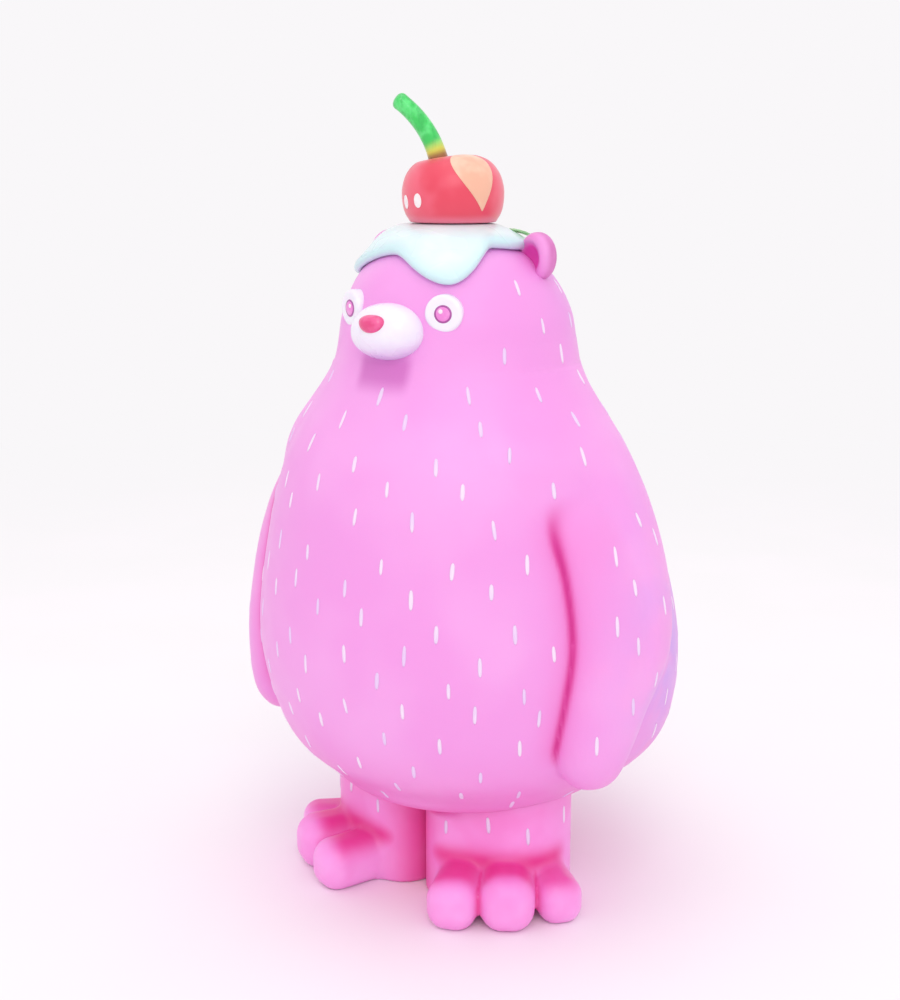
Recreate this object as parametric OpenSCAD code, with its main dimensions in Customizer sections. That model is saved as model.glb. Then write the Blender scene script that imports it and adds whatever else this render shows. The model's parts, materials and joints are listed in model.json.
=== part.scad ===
// Standing vinyl bear figure: a pear-shaped hollow body with moulded arms, two swivelling
// legs, an icing cap on the head and a cherry that turns on top of it.
// The figure faces -Y, its own left side is +X, and the floor is z = 0.

/* [Body] */
// Height of the belly's underside above the floor
belly_z = 26.5; // [25.5:0.1:27]
// Radius of the belly at its widest
belly_r = 60; // [58:0.5:61]
// Radius of the head behind the eyes
head_r = 31; // [30.5:0.1:31.5]
// Wall thickness of the hollow castings
wall = 3; // [2.5:0.1:3.2]

/* [Arms] */
// How far an arm's outer surface stands out from the middle of its section
arm_t = 9.5; // [8.5:0.1:10]
// Half width of an arm at the elbow
arm_w = 16.5; // [15:0.5:17.5]

/* [Legs] */
// Distance of each leg's axis from the middle of the figure
leg_x = 19; // [18.8:0.1:20]
// Radius of a leg
leg_r = 18.2; // [17:0.1:18.2]
// Angle by which each foot points outward at rest
splay = 33; // [28:1:40]
// Radius of the neck that each leg turns on
neck_r = 8; // [7:0.5:9]

/* [Head] */
// Distance of each eye from the middle of the face
eye_x = 14.6; // [13.5:0.1:15.2]
// Radius of an eye disc
eye_r = 4.9; // [4.2:0.1:5.2]
// Radius of an ear
ear_r = 6.2; // [5.6:0.1:6.4]
// Half width of the muzzle
muzzle_w = 10.5; // [9.5:0.1:11]

/* [Topping] */
// Thickness of the icing
icing_t = 2; // [1.6:0.1:2.2]
// Greatest radius of the cherry
cherry_r = 13.7; // [13:0.1:14]
// Radius of the stem at its base
stem_r = 2.6; // [2.2:0.1:2.8]
// Height of the stem's tip above the floor
total_h = 220; // [216:0.5:222]

/* [Hidden] */

skin_pink = "#f48adf";
white = "#fbf7fb";
berry = "#e0356f";
icing_white = "#eafaf8";
leaf_green = "#a8eaa0";
cherry_red = "#e8495f";
stem_green = "#4fe070";

glue_gap = 0.2;      // between a fixed piece and the surface that it is glued to
peg_fit = 0.05;      // radial room round a peg
turn_gap = 0.3;      // radial room round a leg in its pocket
play = 0.2;          // axial room of a turning piece

head_y = -8.5;       // Y of the cherry, the icing and the leg axes
pocket_z = 33;       // ceiling of the leg pockets
plate_t = 3;         // thickness of the pocket ceiling
cup_wall = 2;        // wall of a pocket inside the body
flange_over = 2.4;   // how far a leg's flange reaches past its neck
head_top = 184.6;    // height of the bare head under the icing
land_z = head_top + glue_gap + icing_t;  // flat top of the icing under the cherry
cherry_z = land_z + play;
spigot = [6.5, 176]; // radius of the boss under the icing, and the height that it reaches down to
cherry_peg_r = 3;    // round peg that the cherry turns on

// Outline of the body: radius, height and Y of the centre of each round section
body_stations = [
    [0, belly_z, -2.5],
    [31, belly_z + 2, -2],
    [45.5, belly_z + 9, 2.5],
    [belly_r - 3.8, 47, 3.2],
    [belly_r, 72, -0.3],
    [belly_r - 5, 101, -3.5],
    [46, 126, -7.5],
    [head_r + 3.5, 148, -6.5],
    [head_r, 164, -6.5],
    [24.8, 175, -7.5],
    [14.5, 182, head_y],
    [0, head_top, head_y]];

// Left arm: height, bearing from the front, distance of the section's middle from the body's
// axis, half width along the body and half thickness away from it
arm_stations = [
    [42, 68, 57, 0, 0],
    [44.5, 68, 57, 6.5, 5.5],
    [52, 68, 57.5, 10.5, arm_t - 0.8],
    [68, 71.5, 58.5, arm_w - 2.7, arm_t],
    [84, 75.5, 57.5, arm_w - 0.7, arm_t],
    [100, 76, 54, arm_w, arm_t - 0.3],
    [116, 74, 47.5, arm_w + 1, arm_t - 1.5],
    [130, 75, 39, arm_w - 2, 5],
    [138, 78, 33, 0, 0]];

// A smooth curve through the stations, with n steps between neighbours
function between(a, b, c, d, t) =
    0.5 * (2 * b + (c - a) * t + (2 * a - 5 * b + 4 * c - d) * t * t
           + (3 * b - a - 3 * c + d) * t * t * t);
function before_first(s) = [-s[1][0], s[1][1], s[1][2]];
function smooth(s, n, head, tail) =
    let (p = concat([head], s, [tail]), last = len(s) - 1)
    concat([for (i = [0 : last - 1], k = [0 : n - 1])
                between(p[i], p[i + 1], p[i + 2], p[i + 3], k / n)],
           [s[last]]);
function reversed(s) = [for (i = [len(s) - 1 : -1 : 0]) s[i]];
function body_curve(n) =
    smooth(body_stations, n, before_first(body_stations), before_first(reversed(body_stations)));

// The body's outline moved outward by d, square to itself
function moved(curve, d) =
    let (last = len(curve) - 1)
    [for (i = [0 : last])
        let (a = curve[max(i - 1, 0)], b = curve[min(i + 1, last)],
             run = norm([b[0] - a[0], b[1] - a[1]]),
             out = i == 0 ? [0, -1] : i == last ? [0, 1] : [b[1] - a[1], a[0] - b[0]] / run)
        [curve[i][0] + d * out[0], curve[i][1] + d * out[1], curve[i][2]]];

function flat(lists) = [for (l = lists, x = l) x];

// Faces of a closed skin of rings of m points between two end points
function skin_faces(rings, m) =
    let (first = 0, last = rings * m + 1)
    concat(
        [for (j = [0 : m - 1]) [first, 1 + j, 1 + (j + 1) % m]],
        flat([for (i = [0 : rings - 2], j = [0 : m - 1])
            let (a = 1 + i * m + j, b = 1 + i * m + (j + 1) % m)
            [[a, a + m, b], [b, a + m, b + m]]]),
        [for (j = [0 : m - 1])
            [last, 1 + (rings - 1) * m + (j + 1) % m, 1 + (rings - 1) * m + j]]);

// Rings is a list of rings of m points each, bottom end first, turning to the left seen from above
module skin(low_end, rings, high_end) {
    m = len(rings[0]);
    polyhedron(points = concat([low_end], flat(rings), [high_end]),
               faces = skin_faces(len(rings), m));
}

function bearing(angle) = [sin(angle), -cos(angle), 0];

// Solid of the body's outline, grown by d
module body_solid(d, n, m) {
    curve = moved(body_curve(n), d);
    last = len(curve) - 1;
    skin([0, curve[0][2], curve[0][1]],
         [for (i = [1 : last - 1])
            [for (j = [0 : m - 1])
                [0, curve[i][2], curve[i][1]] + curve[i][0] * bearing(360 * j / m)]],
         [0, curve[last][2], curve[last][1]]);
}

function arm_middle(s) = [0, 0, s[0]] + s[2] * bearing(s[1]);
function arm_ring(s, m) =
    [for (j = [0 : m - 1])
        arm_middle(s) + s[4] * cos(360 * j / m) * bearing(s[1])
                      + s[3] * sin(360 * j / m) * bearing(s[1] + 90)];
function thinner(s, d) = [s[0], s[1], s[2], s[3] - d, s[4] - d];
// Hollow of an arm: it comes to a point above the hand, and inside the body at the shoulder
function inner_arm_stations() =
    let (last = len(arm_stations) - 1, hand = arm_stations[1], shoulder = arm_stations[last - 1])
    concat([[hand[0] + wall - 1, hand[1], hand[2], 0, 0]],
           [for (i = [2 : last - 2]) thinner(arm_stations[i], wall)],
           [[shoulder[0], shoulder[1], shoulder[2] - 2, 0, 0]]);

module arm_solid(stations, n, m) {
    last = len(stations) - 1;
    curve = smooth(stations, n, 2 * stations[0] - stations[1],
                   2 * stations[last] - stations[last - 1]);
    count = len(curve) - 1;
    skin(arm_middle(curve[0]), [for (i = [1 : count - 1]) arm_ring(curve[i], m)],
         arm_middle(curve[count]));
}

module both_sides() {
    children();
    mirror([1, 0, 0]) children();
}

// Everything that is hollow or filled inside the body's skin, as one mesh
module body_casting() {
    minkowski() {
        union() {
            difference() {
                union() {
                    body_solid(0, 3, 40);
                    both_sides() arm_solid(arm_stations, 3, 22);
                }
                body_solid(-wall, 2, 30);
                both_sides() {
                    arm_solid(inner_arm_stations(), 2, 14);
                    translate([leg_x, head_y, 0]) cylinder(r = neck_r - 1, h = pocket_z, $fn = 24);
                }
            }
            difference() {
                intersection() {
                    body_solid(-0.5, 2, 40);
                    both_sides() translate([leg_x, head_y, 0])
                        cylinder(r = leg_r + turn_gap + cup_wall, h = pocket_z + plate_t,
                                 $fn = 40);
                }
                both_sides() translate([leg_x, head_y, 0])
                    cylinder(r = neck_r - 1, h = pocket_z + plate_t + 1, $fn = 24);
            }
        }
    }
}

peg_r = 2;
eye_turn = 22;
eye_z = 165.2;
eye_y = -33.5;
ear_x = 23.2;
ear_y = -4.1;
ear_z = 178.8;
ear_turn = -22;      // the ears face a little towards each other
muzzle_y = -37.5;
muzzle_z = 160.2;

module eye_place() {
    translate([eye_x, eye_y, eye_z]) rotate([0, 0, eye_turn]) rotate([90, 0, 0]) children();
}
module muzzle_place() {
    translate([0, muzzle_y, muzzle_z]) rotate([90, 0, 0]) children();
}
// Points the peg of an ear from the ear's middle down into the head
ear_tilt = 125;
module ear_peg_place() {
    translate([ear_x, ear_y, ear_z]) rotate([0, -ear_tilt, 0]) children();
}

module body_shell() color(skin_pink) {
    difference() {
        body_casting();
        both_sides() translate([leg_x, head_y, 0]) {
            cylinder(r = leg_r + turn_gap, h = pocket_z, $fn = 96);
            cylinder(r = neck_r + peg_fit, h = pocket_z + plate_t + 1, $fn = 64);
        }
        translate([0, head_y, spigot[1] - 4]) cylinder(r = spigot[0] + peg_fit, h = 20, $fn = 64);
        both_sides() {
            eye_place() translate([0, 0, -9]) cylinder(r = peg_r + peg_fit, h = 12, $fn = 32);
            ear_peg_place() cylinder(r = peg_r + peg_fit, h = 12, $fn = 32);
        }
        muzzle_place() translate([0, 0, -10]) cylinder(r = peg_r + peg_fit, h = 12, $fn = 32);
    }
}

// Toes of the left foot before it is turned: sideways, forward and radius, from the inside out
toes = [[-14.7, 25, 6.8], [0, 25.3, 7.4], [14, 20.4, 6.2]];

module toe(place) {
    hull() {
        translate([place[0], -place[1], place[2] - 0.3]) sphere(r = place[2], $fn = 20);
        translate([place[0] * 0.75, -8, place[2] - 0.3]) sphere(r = place[2], $fn = 20);
    }
}

// The leg below the belly is fuller on its inner side in front: middle and radius of that part,
// and how high it reaches
calf = [-13.3, -3.9, 9.8];
calf_top = belly_z - 0.6;

// Foot and leg as one round-toed block, standing on its flat sole
module foot_block(top) {
    minkowski() {
        intersection() {
            union() {
                cylinder(r = leg_r, h = top, $fn = 72);
                translate([calf[0], calf[1], 0]) cylinder(r = calf[2], h = calf_top, $fn = 48);
                for (place = toes) toe(place);
            }
            translate([-50, -50, 0]) cube([100, 100, top]);
        }
    }
}

module leg_turned() {
    top = pocket_z - play;
    flange_z = pocket_z + plate_t + play;
    difference() {
        union() {
            foot_block(top);
            rotate_extrude($fn = 64)
                polygon([[0, top - 2], [neck_r, top - 2], [neck_r, flange_z],
                         [neck_r + flange_over, flange_z], [neck_r + flange_over, flange_z + 0.8],
                         [neck_r, flange_z + 2.6], [0, flange_z + 2.6]]);
        }
        translate([0, 0, wall]) cylinder(r = leg_r - wall, h = top - 2 * wall, $fn = 64);
        translate([0, 0, wall]) cylinder(r = neck_r - 2, h = pocket_z + 10, $fn = 64);
    }
}

module left_leg() color(skin_pink) {
    translate([leg_x, head_y, 0]) rotate([0, 0, splay]) leg_turned();
}
module right_leg() color(skin_pink) {
    mirror([1, 0, 0]) translate([leg_x, head_y, 0]) rotate([0, 0, splay]) leg_turned();
}

// Ends of the icing's lobes and of the notches between them: bearing, and how far down the head
// the rim lies, counted in body stations from the top of the head
rim_stations = [[-75, 2.2], [-12, 1.48], [31, 2.25], [68, 1.22], [122, 2.05], [162, 1.4],
                [207, 2.15], [247, 1.4], [285, 2.2]];
function eased(t) = t * t * (3 - 2 * t);
function rim_at(angle) =
    let (a = angle > 285 ? angle - 360 : angle,
         i = max([for (k = [0 : len(rim_stations) - 2]) if (rim_stations[k][0] <= a) k]),
         low = rim_stations[i], high = rim_stations[i + 1])
    low[1] + (high[1] - low[1]) * eased((a - low[0]) / (high[0] - low[0]));
// The icing is thickest in the middle, where it makes a mound under the cherry
mound = 0.9;
mound_end = 1.6;
function icing_depth(u) = icing_t * (1 + mound * max(0, 1 - pow(u / mound_end, 2)));
function head_point(u, d) =
    let (s = reversed(body_stations), i = floor(u), t = u - i,
         a = i == 0 ? before_first(s) : s[i - 1],
         p = between(a, s[i], s[i + 1], s[i + 2], t),
         q = between(a, s[i], s[i + 1], s[i + 2], t + 0.01),
         run = norm([q[0] - p[0], q[1] - p[1]]))
    [p[0] + d * (p[1] - q[1]) / run, p[1] + d * (q[0] - p[0]) / run, p[2]];
function icing_point(angle, u, d) =
    let (p = head_point(u, d), z = min(p[1], land_z))
    [0, p[2], z] + p[0] * bearing(angle);

module icing_solid(grow, steps, m) {
    low = glue_gap - grow;
    high = glue_gap + grow;
    outer = [for (i = [1 : steps]) [for (j = [0 : m - 1])
        let (u = i / steps * (rim_at(360 * j / m) + grow / 8))
        icing_point(360 * j / m, u, high + icing_depth(u))]];
    rim = [[for (j = [0 : m - 1])
        icing_point(360 * j / m, rim_at(360 * j / m) + (grow + 0.6) / 8, (icing_t + low + high) / 2)]];
    inner = [for (i = [steps : -1 : 1]) [for (j = [0 : m - 1])
        icing_point(360 * j / m, i / steps * (rim_at(360 * j / m) + grow / 8), low)]];
    top = [0, head_y, land_z];
    under = [0, head_y, body_stations[len(body_stations) - 1][1] + low];
    skin(under, reversed(concat(outer, rim, inner)), top);
}

leaf_turn = 128;
leaf_root = 14.3;
leaf_len = 12.5;
leaf_w = 4.6;
leaf_t = 1.1;
leaf_z = land_z - 0.6;
leaf_peg = [17, 1.3];
module leaf_place() {
    translate([0, head_y, 0]) rotate([0, 0, leaf_turn - 90]) children();
}

module icing_cap() color(icing_white) {
    difference() {
        union() {
            icing_solid(0, 8, 48);
            translate([0, head_y, spigot[1]])
                cylinder(r = spigot[0], h = land_z - spigot[1], $fn = 64);
        }
        translate([0, head_y, cherry_z - 9]) cylinder(r = cherry_peg_r + peg_fit, h = 20, $fn = 48);
        both_sides() ear_peg_place() cylinder(r = peg_r + peg_fit, h = 12, $fn = 32);
        leaf_place() translate([leaf_peg[0], 0, 170])
            cylinder(r = leaf_peg[1] + peg_fit, h = 20, $fn = 32);
    }
}

// Mint leaf: pointed at both ends, slightly arched, folded along its middle
function leaf_half_width(t) = leaf_w * pow(sin(180 * pow(t, 0.85)), 0.8);
function leaf_mid(t) = [leaf_root + leaf_len * t, 0, leaf_z - 1.6 * t * t];
function leaf_ring(t) =
    let (w = leaf_half_width(t), p = leaf_mid(t), fold = 0.12 * w)
    [p + [0, -w, fold], p + [0, -w / 2, fold / 2 - leaf_t / 2], p + [0, 0, -leaf_t / 2],
     p + [0, w / 2, fold / 2 - leaf_t / 2], p + [0, w, fold],
     p + [0, w / 2, fold / 2 + leaf_t / 2], p + [0, 0, leaf_t / 2],
     p + [0, -w / 2, fold / 2 + leaf_t / 2]];
module mint_leaf() color(leaf_green) leaf_place() {
    steps = 10;
    skin(leaf_mid(0), [for (i = [1 : steps - 1]) leaf_ring(i / steps)], leaf_mid(1));
    translate([leaf_peg[0], 0, 183]) cylinder(r = leaf_peg[1], h = leaf_z - 183, $fn = 32);
}

// Flat bun of a cherry on a round peg, with a hollow where the stem goes in
stem_base = [-3, -2.1];
cherry_h = 18;
module cherry() color(cherry_red) translate([0, head_y, cherry_z]) {
    difference() {
        union() {
            rotate_extrude($fn = 72)
                polygon([[0, 0], [cherry_r - 3.2, 0], [cherry_r - 1.6, 1.2], [cherry_r - 0.5, 3.4],
                         [cherry_r, 6.6], [cherry_r - 0.1, 9.6], [cherry_r - 1.1, 12.9],
                         [cherry_r - 3.2, 15.8], [cherry_r - 6.2, 17.5],
                         [cherry_r - 9, cherry_h], [0, cherry_h]]);
            translate([0, 0, -6]) cylinder(r = cherry_peg_r, h = 7, $fn = 48);
        }
        translate([stem_base[0], stem_base[1], cherry_h + 4.2]) sphere(r = 6, $fn = 40);
        translate([stem_base[0], stem_base[1], cherry_h - 6])
            cylinder(r = stem_r - 0.6 + peg_fit, h = 8, $fn = 32);
    }
}

// Curved stem: an arc from upright at the base to well over at the tip
stem_rise = total_h - cherry_z - cherry_h + 1;
stem_reach = 10.4;
stem_way = 215;
function stem_mid(t) =
    let (foot = [stem_base[0], stem_base[1], cherry_h - 0.9], side = [cos(stem_way), sin(stem_way), 0])
    foot + side * stem_reach * (0.4 * t + 0.6 * t * t)
         + [0, 0, 1] * (stem_rise - 1.2) * (1.2 * t - 0.2 * t * t);
function stem_ring(t, m) =
    let (p = stem_mid(t), along = stem_mid(t + 0.01) - stem_mid(t - 0.01),
         a = along / norm(along), side = [-sin(stem_way), cos(stem_way), 0], b = cross(a, side),
         r = stem_r * (1 - 0.13 * t))
    [for (j = [0 : m - 1]) p + r * (cos(360 * j / m) * side + sin(360 * j / m) * b)];
module cherry_stem() color(stem_green) translate([0, head_y, cherry_z]) {
    steps = 12;
    skin(stem_mid(0), [for (i = [0 : steps]) stem_ring(i / steps, 20)], stem_mid(1));
    translate([stem_base[0], stem_base[1], cherry_h - 5.8])
        cylinder(r = stem_r - 0.6, h = 5, $fn = 32);
}

// Thick round ear with a shallow hollow in front
module ear_solid() {
    translate([ear_x, ear_y, ear_z]) rotate([0, 0, ear_turn]) rotate([90, 0, 0])
        rotate_extrude($fn = 48)
            polygon([[0, -2.6], [ear_r - 2, -2.6], [ear_r - 0.8, -2], [ear_r, -0.6], [ear_r, 0.8],
                     [ear_r - 0.8, 2.2], [ear_r - 1.8, 2.6], [ear_r - 2.4, 2.4],
                     [ear_r - 2.9, 1.5], [0, 1.3]]);
}
module left_ear_shape(mirrored) {
    minkowski() {
        difference() {
            ear_solid();
            body_solid(glue_gap, 3, 40);
            mirror([mirrored, 0, 0]) icing_solid(glue_gap, 8, 48);
        }
    }
    difference() {
        ear_peg_place() cylinder(r = peg_r, h = 10, $fn = 32);
        translate([ear_x, ear_y - 20, ear_z - 20]) cube(40);
    }
}
module left_ear() color(skin_pink) left_ear_shape(0);
module right_ear() color(skin_pink) mirror([1, 0, 0]) left_ear_shape(1);

// Round eye disc, cut to the face behind, on a peg
module eye_shape() {
    front = 1.2;
    difference() {
        eye_place() rotate_extrude($fn = 64)
            polygon([[0, -4], [eye_r, -4], [eye_r, front - 0.6], [eye_r - 0.6, front], [0, front]]);
        body_solid(glue_gap, 3, 40);
    }
    eye_place() translate([0, 0, -7]) cylinder(r = peg_r, h = 8, $fn = 32);
}
module left_eye() color(white) eye_shape();
module right_eye() color(white) mirror([1, 0, 0]) eye_shape();

// Rings of an egg shape with half axes a, b and c
module egg(a, b, c, n, m) {
    skin([0, 0, -c],
         [for (i = [1 : n - 1])
            [for (j = [0 : m - 1])
                [a * sin(180 * i / n) * cos(360 * j / m), b * sin(180 * i / n) * sin(360 * j / m),
                 -c * cos(180 * i / n)]]],
         [0, 0, c]);
}
muzzle_b = 8;
muzzle_c = 7.3;
module muzzle() color(white) {
    minkowski() {
        difference() {
            translate([0, muzzle_y, muzzle_z]) egg(muzzle_w, muzzle_b, muzzle_c, 16, 32);
            body_solid(glue_gap, 3, 40);
            nose_solid(glue_gap);
        }
    }
    muzzle_place() translate([0, 0, -8]) cylinder(r = peg_r, h = 12, $fn = 32);
}

nose_place = [0, -44.2, 162.6];
module nose_solid(grow) {
    translate(nose_place) egg(3.8 + grow, 2.4 + grow, 2.4 + grow, 12, 24);
}
module nose() color(berry) nose_solid(0);

body_shell();
left_leg();
right_leg();
left_ear();
right_ear();
left_eye();
right_eye();
muzzle();
nose();
icing_cap();
mint_leaf();
cherry();
cherry_stem();
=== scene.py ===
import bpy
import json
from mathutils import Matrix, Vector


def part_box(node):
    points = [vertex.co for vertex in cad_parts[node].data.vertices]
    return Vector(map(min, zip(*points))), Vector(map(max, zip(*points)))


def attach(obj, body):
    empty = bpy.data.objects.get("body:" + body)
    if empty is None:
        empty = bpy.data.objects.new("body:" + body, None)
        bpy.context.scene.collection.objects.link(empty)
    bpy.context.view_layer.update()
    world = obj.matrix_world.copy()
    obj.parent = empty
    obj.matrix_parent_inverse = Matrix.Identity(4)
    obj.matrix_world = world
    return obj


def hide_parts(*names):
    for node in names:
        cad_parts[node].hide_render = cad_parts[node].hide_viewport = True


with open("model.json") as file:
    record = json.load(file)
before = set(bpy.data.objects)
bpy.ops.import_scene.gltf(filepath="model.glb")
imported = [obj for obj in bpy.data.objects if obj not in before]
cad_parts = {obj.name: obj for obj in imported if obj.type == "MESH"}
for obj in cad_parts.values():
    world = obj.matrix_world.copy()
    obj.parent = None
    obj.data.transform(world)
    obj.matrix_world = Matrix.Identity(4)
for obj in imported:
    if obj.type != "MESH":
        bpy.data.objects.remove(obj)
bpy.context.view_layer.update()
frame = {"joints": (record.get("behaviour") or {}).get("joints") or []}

# Looks of a standing vinyl bear figure. Lengths are in millimetres until make() turns them into
# metres. The figure faces -Y and its own left side is +X.
import json
import math

import bpy
import numpy as np
from mathutils import Vector

rng = np.random.default_rng(7)
BODY_PITCH = 0.9
LEG_PITCH = 0.7
EAR_PITCH = 0.35


# ---------------------------------------------------------------- sizes, from the frame
def box_mm(node):
    lo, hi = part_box(node)
    return np.array(lo) * 1000, np.array(hi) * 1000


def joint_mm(name):
    return 1000 * np.array(next(j["pos_m"] for j in frame["joints"] if j["name"] == name))


leg_axis = joint_mm("left_leg_swivel")
cherry_axis = joint_mm("cherry_turn")
head_y = cherry_axis[1]
belly_z = box_mm("body_shell")[0][2]
land_z = box_mm("icing_cap")[1][2]
cherry_z = cherry_axis[2]
cherry_r = (box_mm("cherry")[1][0] - box_mm("cherry")[0][0]) / 2
cherry_h = box_mm("cherry")[1][2] - cherry_z
stem_top = box_mm("cherry_stem")[1][2]
ear_r = 6.3
ear_middle = np.array([23.9, -3.7, 178.5])
ear_turn = math.radians(-22)
eye_r = 4.9
eye_front = 1.2
eye_middle = np.array([14.6, -33.5, 165.2])
eye_turn = math.radians(22)
muzzle_middle = np.array([0, -37.5, 160.2])
muzzle_half = np.array([box_mm("muzzle")[1][0], 8, 7.3])
nose_middle = (box_mm("nose")[0] + box_mm("nose")[1]) / 2
leg_r = 18.2
splay = math.radians(33)
turn_gap = 0.3  # room round a leg in its pocket
pocket_r = leg_r + turn_gap
pocket_z = leg_axis[2]

# Outline of the body: radius, height and Y of the centre of each round section
TORSO = np.array([
    [0, belly_z, -2.5], [31, belly_z + 2, -2], [45.5, belly_z + 9, 2.5], [56.2, 47, 3.2],
    [60, 72, -0.3], [55, 101, -3.5], [46, 126, -7.5], [34.5, 148, -6.5], [31, 164, -6.5],
    [24.8, 175, -7.5], [14.5, 182, head_y], [0, 184.6, head_y]])

# Left arm: height, bearing from the front, distance from the body's axis, half width along the
# body and half thickness away from it
ARM = np.array([
    [42, 68, 57, 0, 0], [44.5, 68, 57, 6.5, 5.5], [52, 68, 57.5, 10.5, 8.7],
    [68, 71.5, 58.5, 13.8, 9.5], [84, 75.5, 57.5, 15.8, 9.5], [100, 76, 54, 16.5, 9.2],
    [116, 74, 47.5, 17, 8], [130, 75, 39, 13, 5.5], [150, 77, 27, 9, 3]])

# Toes of the left foot before it is turned: sideways, forward and half width, from the inside out
TOES = [(-14.7, 24.6, 6.9), (0, 24.7, 7.5), (14.0, 20.2, 6.2)]
CALF = np.array([-13.3, -3.9, 9.8])  # middle and radius of the leg's fuller inner part


# ---------------------------------------------------------------- curves
def between(a, b, c, d, t):
    """Catmull-Rom curve from b to c."""
    return 0.5 * (2 * b + (c - a) * t + (2 * a - 5 * b + 4 * c - d) * t ** 2
                  + (3 * b - a - 3 * c + d) * t ** 3)


def smooth(stations, before, after, steps=24):
    """Points of a smooth curve through the stations."""
    p = np.vstack([before, stations, after])
    t = np.linspace(0, 1, steps, endpoint=False)[:, None]
    spans = [between(p[i], p[i + 1], p[i + 2], p[i + 3], t) for i in range(len(stations) - 1)]
    return np.vstack(spans + [stations[-1:]])


MIRRORED = np.array([-1, 1, 1])  # puts a point on the other side of X = 0
torso_line = smooth(TORSO, TORSO[1] * MIRRORED, TORSO[-2] * MIRRORED)
arm_line = smooth(ARM, 2 * ARM[0] - ARM[1], 2 * ARM[-1] - ARM[-2])


def step(low, high, x):
    """0 below low, 1 above high, and a smooth rise between them."""
    t = np.clip((x - low) / (high - low), 0, 1)
    return t * t * (3 - 2 * t)


def hump(x, middle, width):
    return np.exp(-((x - middle) / width) ** 2)


# ---------------------------------------------------------------- distance fields
TABLE_PITCH = 0.5
TABLE_LOW = np.array([0.0, 15.0])
TABLE_SIZE = (170, 380)


def outline_distance():
    """Table of the signed distance to the body's outline, by radius and height."""
    r, z = [TABLE_LOW[k] + TABLE_PITCH * np.arange(TABLE_SIZE[k]) for k in (0, 1)]
    grid = np.stack(np.meshgrid(r, z, indexing="ij"), -1)
    best = np.full(TABLE_SIZE, np.inf)
    for a, b in zip(torso_line[:-1, :2], torso_line[1:, :2]):
        run = b - a
        t = np.clip((grid - a) @ run / (run @ run), 0, 1)
        best = np.minimum(best, np.linalg.norm(grid - a - t[..., None] * run, axis=-1))
    reach = np.interp(z, torso_line[:, 1], torso_line[:, 0], left=-1, right=-1)
    return np.where(grid[..., 0] < reach[None, :], -best, best)


torso_table = outline_distance()


def torso_field(p):
    """Signed distance to the bare torso, without arms."""
    centre_y = np.interp(p[:, 2], torso_line[:, 1], torso_line[:, 2])
    place = np.stack([np.hypot(p[:, 0], p[:, 1] - centre_y), p[:, 2]], -1)
    place = np.clip((place - TABLE_LOW) / TABLE_PITCH, 0, np.array(TABLE_SIZE) - 1.001)
    i, j = place.astype(int).T
    s, t = (place - place.astype(int)).T
    low = torso_table[i, j] * (1 - s) + torso_table[i + 1, j] * s
    high = torso_table[i, j + 1] * (1 - s) + torso_table[i + 1, j + 1] * s
    return low * (1 - t) + high * t


arm_shape = arm_line[1:-1, 4] / arm_line[1:-1, 3]
SHOULDER_Z = 123  # above this height the arm fades into the torso


def arm_place(p):
    """Value that is 0 on the arm's surface, and how far behind the arm's middle a point lies."""
    z = np.clip(p[:, 2], arm_line[0, 0], arm_line[-1, 0])
    turn, reach, thick = [np.interp(z, arm_line[:, 0], arm_line[:, k]) for k in (1, 2, 4)]
    turn = np.radians(turn)
    out = np.abs(p[:, 0]) * np.sin(turn) - p[:, 1] * np.cos(turn) - reach
    back = np.abs(p[:, 0]) * np.cos(turn) + p[:, 1] * np.sin(turn)
    across = back * np.interp(z, arm_line[1:-1, 0], arm_shape)
    shoulder = 0.017 * np.maximum(p[:, 2] - SHOULDER_Z, 0) ** 2
    return np.sqrt(out ** 2 + across ** 2 + (p[:, 2] - z) ** 2 + 1e-6) - thick + shoulder, back


def slope(field, p, reach=0.4):
    """Gradient of a field at each point."""
    sides = [(field(p + reach * e) - field(p - reach * e)) / (2 * reach) for e in np.eye(3)]
    return np.stack(sides, -1)


def arm_field(p):
    value, back = arm_place(p)
    near = np.abs(value) < 25
    steepness = np.linalg.norm(slope(lambda q: arm_place(q)[0], p[near], 0.2), axis=1)
    value[near] /= np.clip(steepness, 0.3, 4)
    return value, back


def melt(a, b, soft):
    """Smooth union of two fields, soft being how far apart they still run into each other."""
    h = np.clip(1 - np.abs(a - b) / soft, 0, 1)
    return np.minimum(a, b) - soft * h * h / 4


def arm_softness(p, back):
    """How softly the arm runs into the torso: a crease in front, a long slope behind and above."""
    behind = step(-5, 7, back)
    high = step(112, 134, p[:, 2])
    low = 1 - step(52, 78, p[:, 2])
    rear = 15 - 13 * low
    return (1.3 + 13.7 * high) * (1 - behind) + np.maximum(rear, 15 * high) * behind


def pocket_field(p):
    ring = np.hypot(np.abs(p[:, 0]) - leg_axis[0], p[:, 1] - leg_axis[1]) - pocket_r
    return np.maximum(ring, p[:, 2] - pocket_z)


def body_field(p):
    arm, back = arm_field(p)
    skin_value = melt(torso_field(p), arm, arm_softness(p, back))
    return -melt(-skin_value, pocket_field(p), 1.2)


def round_box(q, half, rounding):
    """Signed distance to a box with half sizes half and rounded edges."""
    edge = np.abs(q) - (np.array(half) - rounding)
    outside = np.linalg.norm(np.maximum(edge, 0), axis=-1)
    return outside + np.minimum(edge.max(axis=-1), 0) - rounding


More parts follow.
